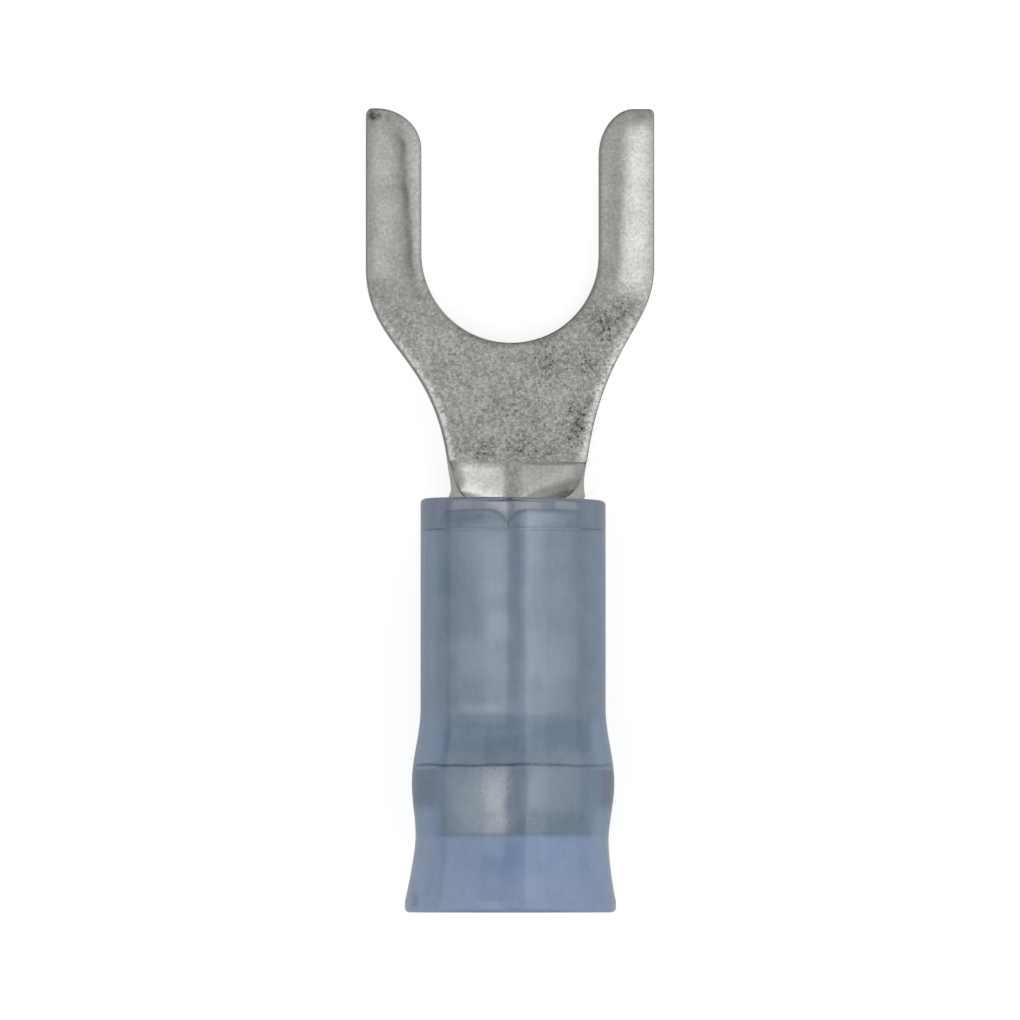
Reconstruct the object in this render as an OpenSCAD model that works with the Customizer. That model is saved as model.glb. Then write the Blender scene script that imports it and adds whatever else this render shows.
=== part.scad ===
// Insulated fork tongue crimp terminal, in millimetres.
// The origin is the centre of the stud on the underside of the tongue. +Y points along the tines to
// their tips, +Z is the side of the barrel's seam, and the wire goes in at the far -Y end.

/* [Fork] */
// Thickness of the copper sheet that the terminal is stamped from
stock_t = 0.75; // [0.5:0.05:0.85]
// Width across the two tines
fork_w = 8.05; // [7.6:0.05:9.5]
// Width of the slot that takes the stud
slot_w = 5.0; // [3.6:0.1:5.4]
// Length from the stud's centre to the tips of the tines
tine_l = 4.05; // [3:0.05:6]
// Width over which the left tip is rounded off towards the slot
left_tip_w = 1.25; // [0.4:0.05:1.3]
// Length over which the left tip is rounded off towards the slot
left_tip_l = 1.15; // [0.4:0.05:1.5]
// Width over which the right tip is rounded off towards the slot
right_tip_w = 0.95; // [0.4:0.05:1.3]
// Length over which the right tip is rounded off towards the slot
right_tip_l = 1.3; // [0.4:0.05:1.5]
// Width over which each tip's outer corner is rounded
tip_outer_w = 0.12; // [0.05:0.01:0.2]
// Length over which each tip's outer corner is rounded
tip_outer_l = 0.18; // [0.05:0.01:0.3]

/* [Coined faces of the tines] */
// Width of the coined bevel along the slot's edge at the tips
bevel_w = 0.5; // [0.2:0.05:0.6]
// Width of the left tine's bevel beside the stud
left_bevel_w = 0.3; // [0.2:0.05:0.6]
// Width of the right tine's bevel beside the stud
right_bevel_w = 0.5; // [0.2:0.05:0.6]
// Depth of the bevel at the slot's wall
bevel_d = 0.11; // [0.05:0.01:0.2]
// Angle round the slot's bottom at which the bevel has faded out
bevel_end = 48; // [20:1:70]
// Width over which each tine's top falls away to its outer side
crown_w = 1.0; // [0.6:0.05:1.2]
// Depth of the fall at the outer side
crown_d = 0.12; // [0.05:0.01:0.2]
// Length behind the shoulder over which the fall fades out
crown_fade_l = 1.8; // [1:0.1:3]

/* [Neck] */
// Distance from the stud's centre back to where the outer sides start to curve in
shoulder_l = 0.35; // [0:0.05:0.8]
// Distance from the stud's centre back to the fold line where the neck starts to curl
neck_l = 5.82; // [5:0.01:8]
// Distance from the fork's centre line to the neck's left side at the fold line
neck_left = 1.74; // [1.5:0.01:2.1]
// Distance from the fork's centre line to the neck's right side at the fold line
neck_right = 2.14; // [1.7:0.01:2.3]
// How far the left side runs on along the fork before it curves in
left_shoulder_pull = 2.3; // [1:0.1:3]
// How far the left side runs back along the neck before it curves out
left_neck_pull = 3.1; // [1:0.1:3.5]
// How far the right side runs on along the fork before it curves in
right_shoulder_pull = 1.7; // [1:0.1:3]
// How far the right side runs back along the neck before it curves out
right_neck_pull = 3.35; // [1:0.05:3.5]
// Taper of the neck's sides at the fold line, in degrees
neck_taper = 7.6; // [3:0.1:12]

/* [Curled trough] */
// Length of the trough from the fold line to the barrel's front edge
trough_l = 1.4; // [1.2:0.05:2.5]
// Length from the fold line over which the flat neck curls up to the barrel's radius
curl_l = 1.15; // [0.8:0.05:1.15]
// How late the left side curls: 1 is evenly along the trough, more is nearer the barrel
left_curl_late = 3.5; // [1:0.1:4]
// How late the right side curls: 1 is evenly along the trough, more is nearer the barrel
right_curl_late = 1.5; // [1:0.1:3]
// Taper of the trough's edges on the flat blank, in degrees
trough_taper = 12; // [5:1:18]
// Radius on the flat blank between the trough's edge and the barrel's front edge
web_r = 0.6; // [0.3:0.05:0.9]

/* [Barrel] */
// Outside diameter of the rolled barrel
barrel_d = 3.8; // [3.4:0.1:4.4]
// Length of the barrel along the wire
barrel_l = 5.5; // [4:0.1:7]
// Corner radius where the two rolled edges meet at the front of the seam
seam_corner_r = 0.3; // [0.1:0.05:0.4]
// Width of the brazed seam's groove
seam_w = 0.1; // [0.05:0.01:0.2]
// Depth of the brazed seam's groove
seam_d = 0.08; // [0.03:0.01:0.15]
// Number of serration rings inside the barrel
serrations = 3; // [1:1:3]
// Width of one serration ring
serration_w = 0.4; // [0.2:0.05:0.5]
// Depth of one serration ring
serration_d = 0.1; // [0.05:0.01:0.15]
// Distance between serration rings
serration_pitch = 1.2; // [0.7:0.05:1.2]
// Chamfer at the mouth of the wire bore
bore_chamfer = 0.2; // [0.1:0.05:0.3]

/* [Grip sleeve] */
// Wall of the grip sleeve
sleeve_t = 0.19; // [0.12:0.01:0.22]
// Radial play of the grip sleeve on the barrel
sleeve_play = 0.03; // [0.01:0.01:0.06]
// Gap between the barrel's end and the start of the rolled-in groove
groove_gap = 0.15; // [0.05:0.05:0.4]
// Outside diameter at the bottom of the groove
groove_d = 3.3; // [3:0.05:3.5]
// Length over which the groove narrows
groove_in_l = 0.7; // [0.5:0.05:1]
// Length over which the groove opens to the band
groove_out_l = 0.82; // [0.5:0.02:1]
// Length of the band that seats in the insulator's bulge
band_l = 1.13; // [0.8:0.01:1.4]
// Radial play of the band in the insulator
band_play = 0.03; // [0.01:0.01:0.06]
// Length over which the band closes to the tail
band_close_l = 0.35; // [0.2:0.05:0.5]
// Outside diameter of the sleeve's tail
tail_d = 4.4; // [4.1:0.05:4.5]
// Length of the sleeve's tail
tail_l = 0.43; // [0.3:0.01:0.6]

/* [Insulator] */
// Wall of the nylon sleeve
nylon_t = 0.43; // [0.35:0.01:0.6]
// Radial play of the nylon on the grip sleeve's front
nylon_play = 0.03; // [0.01:0.01:0.06]
// Overhang of the nylon's front edge ahead of the barrel
nylon_overhang = 0.3; // [0.2:0.05:0.6]
// Length of the thicker lip at the nylon's front
lip_l = 0.85; // [0.5:0.05:1.2]
// Radial play of the lip on the barrel
lip_play = 0.15; // [0.13:0.01:0.17]
// Play between the lip's shoulder and the grip sleeve's front edge
lip_seat = 0.02; // [0.01:0.01:0.05]
// Outside diameter of the bulge over the band
bulge_d = 5.65; // [5.5:0.05:5.9]
// Outside diameter of the waist behind the band
waist_d = 5.39; // [5.3:0.01:5.5]
// Outside diameter of the flared mouth
mouth_d = 5.89; // [5.6:0.01:6.4]
// Length from the band's front edge back to the bulge's crown
bulge_back = 0.43; // [0.3:0.01:0.6]
// Length from the bulge's crown to the waist
waist_l = 1.55; // [1.4:0.05:1.8]
// Length of the flare from the waist to the mouth's rim
flare_l = 1.75; // [1.2:0.05:2.5]
// Length of the straight rim at the mouth
rim_l = 0.3; // [0.2:0.05:0.5]
// Rounding of the nylon's outer edges
nylon_edge_r = 0.14; // [0.05:0.01:0.2]

/* [Hidden] */
$fn = 96;

// Places along Y, from the stud's centre back to the mouth
fold_y = -neck_l;
barrel_front_y = fold_y - trough_l;
barrel_end_y = barrel_front_y - barrel_l;
groove_start_y = barrel_end_y - groove_gap;
groove_y = groove_start_y - groove_in_l;
band_y = groove_y - groove_out_l;
band_end_y = band_y - band_l;
tail_y = band_end_y - band_close_l;
sleeve_end_y = tail_y - tail_l;
nylon_front_y = barrel_front_y + nylon_overhang;
lip_y = nylon_front_y - lip_l;
sleeve_front_y = lip_y - lip_seat;
bulge_y = band_y - bulge_back;
swell_y = barrel_end_y;
waist_y = bulge_y - waist_l;
rim_y = waist_y - flare_l;
mouth_y = rim_y - rim_l;

// Radii round the barrel's centre line
barrel_r = barrel_d / 2;
bore_r = barrel_r - stock_t;
roll_r = barrel_r - stock_t / 2;
axis_z = barrel_r;
sleeve_bore_r = barrel_r + sleeve_play;
sleeve_r = sleeve_bore_r + sleeve_t;
nylon_bore_r = sleeve_r + nylon_play;
nylon_r = nylon_bore_r + nylon_t;
lip_bore_r = barrel_r + lip_play;

// The seam lies where the sheet's two sides meet, which is off the top by the neck's shift
seam_turn = (neck_right - neck_left) / 2 / roll_r * 180 / PI;

// Steps of the curves, and the angles between points on the small arcs
flank_steps = 18;
curve_steps = 12;
fade_steps = 4;
bevel_steps = 8;
trough_rows = 14;
trough_cols = 18;
corner_step = 15;
tip_step = 10;
// How far the trough's roots reach into the tongue and the barrel's wall, and how much thinner than
// the sheet they are there on each face
root_l = 0.3;
root_inset = 0.04;
// How the flare opens towards the mouth: 1 is evenly, more is nearer the rim
flare_power = 1.5;
// How far cuts run past a face
past = 1;
// How far a bevel's cutter runs past the sheet's edge and top, and past its own inner line as a share
bevel_past = 0.1;
bevel_over = 0.25;
// What is left of a cut's size where it fades out
cut_fade = 0.15;

function ease(t) = (1 - cos(180 * t)) / 2;
function mix(a, b, t) = a + (b - a) * t;
function cubic(a, b, c, d, t) =
    pow(1 - t, 3) * a + 3 * pow(1 - t, 2) * t * b + 3 * (1 - t) * t * t * c + pow(t, 3) * d;

// One side of the web, from the shoulder back to the fold line, as a cubic curve
function flank(half, shoulder_pull, neck_pull) = [
    for (i = [0 : flank_steps])
        cubic(
            [fork_w / 2, -shoulder_l],
            [fork_w / 2, -shoulder_l - shoulder_pull],
            [half + neck_pull * tan(neck_taper), fold_y + neck_pull],
            [half, fold_y],
            i / flank_steps
        )
];

function mirrored(points) = [for (i = [len(points) - 1 : -1 : 0]) [-points[i].x, points[i].y]];

// Outer corner of the right tip, as a quarter ellipse
function tip_corner() = [
    for (a = [90 : -corner_step : 0])
        [fork_w / 2 - tip_outer_w * (1 - cos(a)), tine_l - tip_outer_l * (1 - sin(a))]
];

// A place on the quarter ellipse that rounds the right tip towards the slot
function tip_place(w, l, a) = [slot_w / 2 + w * (1 + cos(a)), tine_l - l * (1 - sin(a))];

module blank_outline() {
    polygon(concat(
        tip_corner(),
        flank(neck_right, right_shoulder_pull, right_neck_pull),
        mirrored(flank(neck_left, left_shoulder_pull, left_neck_pull)),
        mirrored(tip_corner())
    ));
}

// The slot's right side at the tip, and on past it
function slot_corner(w, l) = concat(
    [for (a = [180 : -tip_step : 90]) tip_place(w, l, a)],
    [[slot_w / 2 + w, tine_l + past]]
);

// The slot, with the tips' rounded sides that open it out
module slot_outline() {
    circle(d = slot_w);
    polygon(concat(
        [[-slot_w / 2, 0], [slot_w / 2, 0]],
        slot_corner(right_tip_w, right_tip_l),
        mirrored(slot_corner(left_tip_w, left_tip_l))
    ));
}

// A solid skinned over rings of points. Each ring is a row of points and the same number coming back.
module loft(rings) {
    m = len(rings[0]);
    last = (len(rings) - 1) * m;
    polyhedron(
        points = [for (ring = rings) each ring],
        faces = concat(
            [for (i = [0 : len(rings) - 2], j = [0 : m - 1])
                [i * m + j, i * m + (j + 1) % m, (i + 1) * m + (j + 1) % m, (i + 1) * m + j]],
            [for (j = [0 : m / 2 - 2]) [m - 1 - j, m - 2 - j, j + 1, j]],
            [for (j = [0 : m / 2 - 2]) [last + j, last + j + 1, last + m - 2 - j, last + m - 1 - j]]
        )
    );
}

// Places along a cut on a tine's edge: [point, direction into the metal, width and depth of the cut].
// The bevel runs over the tip, down the slot's side and round its bottom, where it fades out.
function bevel_path(tip_w, tip_l, stud_w) = concat(
    [for (i = [0 : fade_steps - 1]) let (t = i / fade_steps, s = mix(cut_fade, 1, ease(t)))
        [[mix(fork_w / 2 - tip_outer_w, slot_w / 2 + tip_w, t), tine_l],
         [0, -1], s * bevel_w, s * bevel_d]],
    [for (a = [90 : tip_step : 180 - tip_step]) let (out = [cos(a) / tip_w, sin(a) / tip_l])
        [tip_place(tip_w, tip_l, a), -out / norm(out), bevel_w, bevel_d]],
    [[[slot_w / 2, tine_l - tip_l], [1, 0], bevel_w, bevel_d]],
    [for (i = [0 : bevel_steps])
        let (a = bevel_end * i / bevel_steps, s = mix(1, cut_fade, ease(i / bevel_steps)))
        [slot_w / 2 * [cos(a), -sin(a)], [cos(a), -sin(a)], s * stud_w, s * bevel_d]]
);

// The crown runs up the outer side, from where it starts behind the shoulder to past the tip
crown_path = concat(
    [for (i = [0 : fade_steps]) let (t = i / fade_steps)
        [[fork_w / 2, -shoulder_l - crown_fade_l * (1 - t)],
         [-1, 0], crown_w, mix(cut_fade, 1, ease(t)) * crown_d]],
    [[[fork_w / 2, tine_l + past], [-1, 0], crown_w, crown_d]]
);

// The cutter's section at one place: the cut's plane below, and clear of the sheet above
function cut_ring(place) =
    let (w = place[2], d = place[3], top = stock_t + 2 * bevel_past)
    let (outside = place[0] - bevel_past * place[1], inside = place[0] + (1 + bevel_over) * w * place[1])
    [
        [outside.x, outside.y, top],
        [inside.x, inside.y, top],
        [inside.x, inside.y, stock_t + bevel_over * d],
        [outside.x, outside.y, stock_t - d * (1 + bevel_past / w)]
    ];

module cut_along(path) {
    loft([for (place = path) cut_ring(place)]);
}

module tongue() {
    difference() {
        linear_extrude(stock_t) difference() {
            blank_outline();
            slot_outline();
        }
        cut_along(bevel_path(right_tip_w, right_tip_l, right_bevel_w));
        mirror([1, 0, 0]) cut_along(bevel_path(left_tip_w, left_tip_l, left_bevel_w));
        for (side = [0, 1]) mirror([side, 0, 0]) cut_along(crown_path);
    }
}

// The trough: on each side the sheet's middle is an arc whose curvature grows from none to the barrel's
function behind_fold(y) = max(0, min(trough_l, fold_y - y));
function curl(y, late) = pow(min(1, behind_fold(y) / curl_l), late);
function web(y) =
    let (d = max(0, min(web_r, y - barrel_front_y)))
    web_r - sqrt(web_r * web_r - pow(web_r - d, 2));
function trough_half(half, y) = half - behind_fold(y) * tan(trough_taper) + web(y);

// How far the section has thinned on each face: all of it in the tongue, and growing up to the barrel
function inset(y) =
    root_inset * (y > fold_y ? 1 : ease(max(0, behind_fold(y) - curl_l) / (trough_l - curl_l)));

// A point of the sheet: u along the section from the fork's centre line, n up from the sheet's middle
function sheet(u, n, y) =
    let (c = curl(y, u < 0 ? left_curl_late : right_curl_late))
    c == 0
        ? [u, y, stock_t / 2 + n]
        : let (r = roll_r / c, a = u / r * 180 / PI)
          [(r - n) * sin(a), y, stock_t / 2 + r - (r - n) * cos(a)];

function trough_ring(y) =
    let (
        left = trough_half(neck_left, y),
        right = trough_half(neck_right, y),
        n = stock_t / 2 - inset(y)
    )
    concat(
        [for (j = [0 : trough_cols]) sheet(mix(-left, right, j / trough_cols), n, y)],
        [for (j = [trough_cols : -1 : 0]) sheet(mix(-left, right, j / trough_cols), -n, y)]
    );

module trough() {
    loft(concat(
        [trough_ring(fold_y + root_l)],
        [for (i = [0 : trough_rows]) trough_ring(fold_y - trough_l * i / trough_rows)],
        [trough_ring(barrel_front_y - root_l)]
    ));
}

// Places a shape turned about Z on the barrel's centre line, with its Z along +Y
module on_axis() {
    translate([0, 0, axis_z]) rotate([-90, 0, 0]) children();
}

// The right side of the notch where the rounded corners of the two rolled edges meet
seam_corner = [
    for (a = [0 : tip_step : 90]) [seam_w / 2 + seam_corner_r * (1 - cos(a)), -seam_corner_r * (1 - sin(a))]
];

// The notch at the seam's front, cut up from inside the bore
module seam_notch() {
    mouth = [[seam_w / 2 + seam_corner_r, past]];
    translate([0, barrel_front_y, bore_r / 2]) linear_extrude(barrel_r)
        polygon(concat(seam_corner, mouth, mirrored(mouth), mirrored(seam_corner)));
}

// The groove that the braze leaves along the seam
module seam_groove() {
    translate([-seam_w / 2, barrel_end_y - past, barrel_r - seam_d])
        cube([seam_w, barrel_l + 2 * past, past]);
}

module barrel() {
    difference() {
        on_axis() translate([0, 0, barrel_end_y]) cylinder(r = barrel_r, h = barrel_l);
        on_axis() translate([0, 0, barrel_end_y - past]) cylinder(r = bore_r, h = barrel_l + 2 * past);
        on_axis() translate([0, 0, barrel_end_y - bore_chamfer])
            cylinder(r1 = bore_r + 2 * bore_chamfer, r2 = bore_r, h = 2 * bore_chamfer);
        for (i = [1 : serrations])
            on_axis() translate([0, 0, barrel_end_y + serration_pitch * i])
                cylinder(r = bore_r + serration_d, h = serration_w);
        translate([0, 0, axis_z]) rotate([0, -seam_turn, 0]) {
            seam_groove();
            seam_notch();
        }
    }
}

module fork_terminal() {
    color([0.66, 0.65, 0.63]) {
        tongue();
        trough();
        barrel();
    }
}

// Outside radius of the nylon at a place along Y
function nylon_at(y) =
    y > swell_y ? nylon_r
    : y > bulge_y ? mix(nylon_r, bulge_d / 2, ease((swell_y - y) / (swell_y - bulge_y)))
    : y > waist_y ? mix(bulge_d / 2, waist_d / 2, ease((bulge_y - y) / waist_l))
    : y > rim_y ? mix(waist_d / 2, mouth_d / 2, pow((waist_y - y) / flare_l, flare_power))
    : mouth_d / 2;

// Outside radius of the grip sleeve at a place along Y
function band_at(y) = nylon_at(y) - nylon_t - band_play;
function sleeve_at(y) =
    y > groove_start_y ? sleeve_r
    : y > groove_y ? mix(sleeve_r, groove_d / 2, ease((groove_start_y - y) / groove_in_l))
    : y > band_y ? mix(groove_d / 2, band_at(band_y), 1 - cos(90 * (groove_y - y) / groove_out_l))
    : y > band_end_y ? band_at(y)
    : y > tail_y ? mix(band_at(band_end_y), tail_d / 2, ease((band_end_y - y) / band_close_l))
    : tail_d / 2;

// Places along Y at even steps between two ends, without the last
function steps(from, to, n) = [for (i = [0 : n - 1]) mix(from, to, i / n)];

function reversed(list) = [for (i = [len(list) - 1 : -1 : 0]) list[i]];

module grip_sleeve() {
    ys = concat(
        [sleeve_front_y],
        steps(groove_start_y, groove_y, curve_steps),
        steps(groove_y, band_y, curve_steps),
        steps(band_y, band_end_y, curve_steps / 2),
        steps(band_end_y, tail_y, curve_steps / 2),
        [tail_y, sleeve_end_y]
    );
    color([0.72, 0.71, 0.68]) on_axis() rotate_extrude() polygon(concat(
        [for (y = ys) [sleeve_at(y), y]],
        [for (y = reversed(ys)) [sleeve_at(y) - sleeve_t, y]]
    ));
}

module insulator() {
    swell = concat(
        steps(swell_y, bulge_y, curve_steps),
        steps(bulge_y, waist_y, curve_steps),
        steps(waist_y, rim_y, curve_steps),
        [rim_y]
    );
    color([0.45, 0.55, 0.68]) on_axis() rotate_extrude() polygon(concat(
        [for (a = [90 : -corner_step : 0])
            [nylon_r - nylon_edge_r, nylon_front_y - nylon_edge_r] + nylon_edge_r * [cos(a), sin(a)]],
        [for (y = swell) [nylon_at(y), y]],
        [for (a = [0 : -corner_step : -90])
            [mouth_d / 2 - nylon_edge_r, mouth_y + nylon_edge_r] + nylon_edge_r * [cos(a), sin(a)]],
        [[mouth_d / 2 - nylon_t, mouth_y]],
        [for (y = reversed(swell)) [nylon_at(y) - nylon_t, y]],
        [[nylon_bore_r, lip_y], [lip_bore_r, lip_y], [lip_bore_r, nylon_front_y]]
    ));
}

fork_terminal();
grip_sleeve();
insulator();
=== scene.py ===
"""Insulated fork terminal with a 5 mm slot, lying on white paper and seen from above.

The frame's units are metres. The shapes below are worked out in millimetres and written into their
meshes in metres: +Y runs along the tines to their tips, +Z is up from the tongue's underside. Names that
end in _R are radii, in _W widths, in _L lengths along Y, in _D depths, in _T thicknesses, and in _Y places
along Y.
"""
import math
from collections import namedtuple

import bmesh
import bpy
import numpy as np
from mathutils import Matrix, Vector


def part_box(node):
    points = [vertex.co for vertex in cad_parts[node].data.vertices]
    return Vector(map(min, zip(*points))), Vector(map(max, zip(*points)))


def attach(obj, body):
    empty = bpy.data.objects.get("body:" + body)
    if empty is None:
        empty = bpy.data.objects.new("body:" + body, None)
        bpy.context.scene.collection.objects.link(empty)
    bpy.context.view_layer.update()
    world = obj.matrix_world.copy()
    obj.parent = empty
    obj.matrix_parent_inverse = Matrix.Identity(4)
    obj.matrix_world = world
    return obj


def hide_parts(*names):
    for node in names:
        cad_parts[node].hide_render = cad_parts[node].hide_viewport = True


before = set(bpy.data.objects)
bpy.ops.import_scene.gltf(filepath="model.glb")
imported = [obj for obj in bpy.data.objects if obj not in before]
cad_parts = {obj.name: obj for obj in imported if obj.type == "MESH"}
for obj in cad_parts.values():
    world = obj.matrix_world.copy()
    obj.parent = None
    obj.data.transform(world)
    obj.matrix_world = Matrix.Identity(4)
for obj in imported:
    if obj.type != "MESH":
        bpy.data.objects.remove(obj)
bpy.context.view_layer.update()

MM = 0.001


def mm_box(name):
    """Lowest and highest corners of a node of the frame, in millimetres."""
    low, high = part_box(name)
    return np.array(low) / MM, np.array(high) / MM


TERMINAL_LOW, TERMINAL_HIGH = mm_box("fork_terminal")
SLEEVE_LOW, SLEEVE_HIGH = mm_box("grip_sleeve")
NYLON_LOW, NYLON_HIGH = mm_box("insulator")

# The sheet that the terminal is stamped from, and the barrel that it is rolled to
SHEET = 0.75
BARREL_R = TERMINAL_HIGH[2] / 2
ROLL_R = BARREL_R - SHEET / 2
AXIS_Z = BARREL_R

# The fork's outline on the flat blank
TIP_Y = TERMINAL_HIGH[1]
FORK_HALF = TERMINAL_HIGH[0]
SLOT_HALF = 2.5
TIP_CORNER_W = 0.12
TIP_CORNER_L = 0.18
SHOULDER_Y = -0.35
FOLD_Y = -5.82
NECK_TAPER = math.radians(7.6)
TROUGH_L = 1.4
TROUGH_TAPER = math.radians(12)
CURL_L = 1.15
WEB_R = 0.6
FRONT_Y = FOLD_Y - TROUGH_L
END_Y = TERMINAL_LOW[1]
SEAM_GAP = 0.004
SEAM_CORNER_R = 0.45

# One side of the fork: which way it lies, the neck's half width, how far the flank runs on from the
# shoulder and from the neck, how the tip is rounded, how wide the bevel is at the tip and beside the
# stud, how deep the crown and the web's rolled-over side fall, how steeply the punch lifts the
# trough's flank and over which length, how late that side curls, and how dark the painted shade in the
# crease along the bevel is
Side = namedtuple("Side", "sign neck shoulder_pull neck_pull tip_w tip_l bevel_tip bevel_w crown_d "
                          "roll_over lift lift_l curl_late crease")
LEFT = Side(
    sign=-1, neck=1.74, shoulder_pull=2.3, neck_pull=3.1, tip_w=1.25, tip_l=1.15, bevel_tip=0.5,
    bevel_w=0.3, crown_d=0.095, roll_over=0.036, lift=math.radians(5.8), lift_l=0.25, curl_late=4.0,
    crease=0.55,
)
RIGHT = Side(
    sign=1, neck=2.14, shoulder_pull=1.7, neck_pull=3.35, tip_w=0.95, tip_l=1.3, bevel_tip=0.7,
    bevel_w=0.5, crown_d=0.135, roll_over=0.026, lift=math.radians(5.45), lift_l=0.08, curl_late=3.4,
    crease=0.15,
)
SEAM_SHIFT = (RIGHT.neck - LEFT.neck) / 2

# The punch that forms the trough: where its ridge lies, half its width, how much later the middle
# curls than the sides, and how near the middle the two sides meet
RIDGE_X = 0.03
RIDGE_HALF = 0.25
INNER_LATE = 1.3
SIDES_MEET = 0.3

# How the sheet's top falls towards its edges: the bevel turns with the slot's bottom up to an angle, and
# narrows by a share on the way
BEVEL_SLOPE = 0.09
BEVEL_END = math.radians(55)
BEVEL_NARROWS = 0.6
CREASE_SOFT = 0.08
CROWN_W = 1.0
CROWN_FADE = 1.4
ROLL_OVER_W = 0.34
ROLL_OVER_Y = SHOULDER_Y + 0.3
ROLL_OVER_RAMP = 3.0
EDGE_R = 0.03

# Where the tin is rubbed darker, and where shade is painted on it, as how wide and how much: painted shade
# in a fine line along every edge, a wider rubbed band beside the tines' outer edges, painted shade in the
# crease along the bevel, where each side has its own amount, the rubbed slot's bottom and outside of the
# barrel's front edge, and painted shade on the walls
LINE_W = 0.055
LINE_SHADE = 0.8
DULL_W = 0.22
DULL_RUBBED = 0.42
CREASE_IN_W = 0.17
CREASE_OUT_W = 0.07
BOTTOM_W = 0.12
BOTTOM_RUBBED = 0.5
FRONT_W = 0.11
WALL_SHADE = 0.5

# Inside the barrel: three serration rings, and a chamfer at its end
RING_W = 0.4
RING_D = 0.1
RING_PITCH = 1.2
RINGS = (1, 2, 3)
BORE_CHAMFER = 0.2
SEAM_ROUND = 0.08


# Small shapes that the outlines are made of

def mix(a, b, t):
    """a where t is 0, b where it is 1, and even between."""
    return a + (b - a) * t


def ease(t):
    """Half a cosine wave from 0 to 1, flat at both ends."""
    return (1 - np.cos(np.pi * np.clip(t, 0, 1))) / 2


def line(start, end, n):
    """n + 1 even points from start to end."""
    return mix(np.array(start, float), np.array(end, float), np.linspace(0, 1, n + 1)[:, None])


def arc(centre, radius, a0, a1, n):
    """n + 1 points at even angles, in degrees, on a circle or, for two radii, an ellipse: the centre
    plus the radius across times the cosine and the radius along times the sine."""
    rx, ry = np.broadcast_to(radius, 2)
    a = np.radians(np.linspace(a0, a1, n + 1))
    return np.array(centre) + np.stack([rx * np.cos(a), ry * np.sin(a)], -1)


def cubic(p, n):
    """n + 1 points of a cubic Bezier curve over the four points of p."""
    t = np.linspace(0, 1, n + 1)[:, None]
    return (1 - t) ** 3 * p[0] + 3 * (1 - t) ** 2 * t * p[1] + 3 * (1 - t) * t * t * p[2] + t ** 3 * p[3]


def even(points, n):
    """n + 1 points at even lengths along a line of points."""
    gone = np.concatenate([[0], np.cumsum(np.linalg.norm(np.diff(points, axis=0), axis=1))])
    at = np.linspace(0, gone[-1], n + 1)
    return np.stack([np.interp(at, gone, points[:, k]) for k in (0, 1)], -1)


def chain(*parts):
    """The parts end to end, with each shared end point once."""
    return np.concatenate([part[:-1] for part in parts[:-1]] + [parts[-1]])


# Rows of the terminal's grid in each stretch from the tip to the barrel, its columns from side to
# middle, and the places down its walls as shares of their height
TIP_ROWS, TINE_ROWS, SLOT_ROWS = 26, 44, 52
BACK_ROWS = WEB_ROWS, TROUGH_ROWS, FILLET_ROWS, FRONT_ROWS, CORNER_ROWS, TAPER_ROWS = 48, 24, 10, 24, 8, 12
FREE_ROWS = TIP_ROWS + TINE_ROWS + SLOT_ROWS
TIP_CORNER_ROWS = 8
COLUMNS = 44
WALL_DOWN = np.array([0, 0.05, 0.3, 0.7, 0.95, 1])

# The flank is drawn as a fine line first, and parted between the slot's rows and the web's
FLANK_STEPS = 400
FLANK_SPLIT = int(0.56 * FLANK_STEPS)

# Rows along the barrel behind its front, with a close pair at each serration's sides
RING_EDGES = np.array([END_Y + RING_PITCH * i + at for i in RINGS for at in (0, RING_W)])
BARREL_Y = np.sort(np.concatenate([
    np.linspace(RING_EDGES.max() + 0.04, END_Y, 36), RING_EDGES - 0.01, RING_EDGES + 0.01,
    [END_Y + BORE_CHAMFER],
]))[::-1]

# Where the stretches behind the slot start and end on the centre line
MIDDLE_Y = [-SLOT_HALF, FOLD_Y, FRONT_Y + 0.35, FRONT_Y - 0.1, FRONT_Y - 0.9, FRONT_Y - 1.1, BARREL_Y[0]]


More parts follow.
